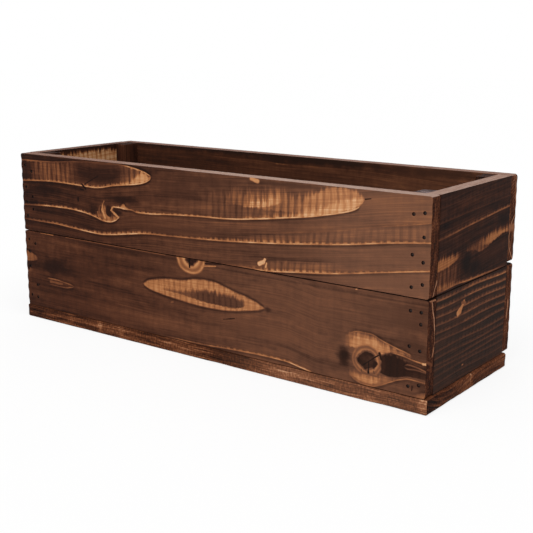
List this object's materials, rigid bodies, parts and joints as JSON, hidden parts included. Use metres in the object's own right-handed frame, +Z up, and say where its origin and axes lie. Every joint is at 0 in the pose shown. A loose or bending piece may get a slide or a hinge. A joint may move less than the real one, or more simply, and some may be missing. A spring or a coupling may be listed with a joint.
{
  "type": "window box planter",
  "caption": "Long open-topped wooden window box planter with scorched softwood plank walls on a plank base, corner cleats inside and drainage holes below.",
  "frame": {"origin": "on the ground under the middle of the box's overall length and depth", "axes": "+X along the box to the right seen from the front, -Y out of the front wall, +Z up"},
  "size_m": [0.454, 0.15, 0.166],
  "materials": {
    "long_boards": "scorched and brushed softwood, satin",
    "end_boards": "heavily scorched softwood, satin",
    "base_boards": "rough-sawn stained softwood",
    "cleats": "sawn stained softwood",
    "brads": "dark steel, sunk below the surface"
  },
  "bodies": {
    "root": {"back_left_cleat": "cleats", "back_left_cleat_brads": "brads", "back_lower_board": "long_boards", "back_lower_left_brads": "brads", "back_lower_right_brads": "brads", "back_right_cleat": "cleats", "back_right_cleat_brads": "brads", "back_upper_board": "long_boards", "back_upper_left_brads": "brads", "back_upper_right_brads": "brads", "front_base_board": "base_boards", "front_base_brads": "brads", "front_left_cleat": "cleats", "front_left_cleat_brads": "brads", "front_lower_board": "long_boards", "front_lower_left_brads": "brads", "front_lower_right_brads": "brads", "front_right_cleat": "cleats", "front_right_cleat_brads": "brads", "front_upper_board": "long_boards", "front_upper_left_brads": "brads", "front_upper_right_brads": "brads", "left_end_lower_board": "end_boards", "left_end_upper_board": "end_boards", "rear_base_board": "base_boards", "rear_base_brads": "brads", "right_end_lower_board": "end_boards", "right_end_upper_board": "end_boards"}
  },
  "joints": []
}
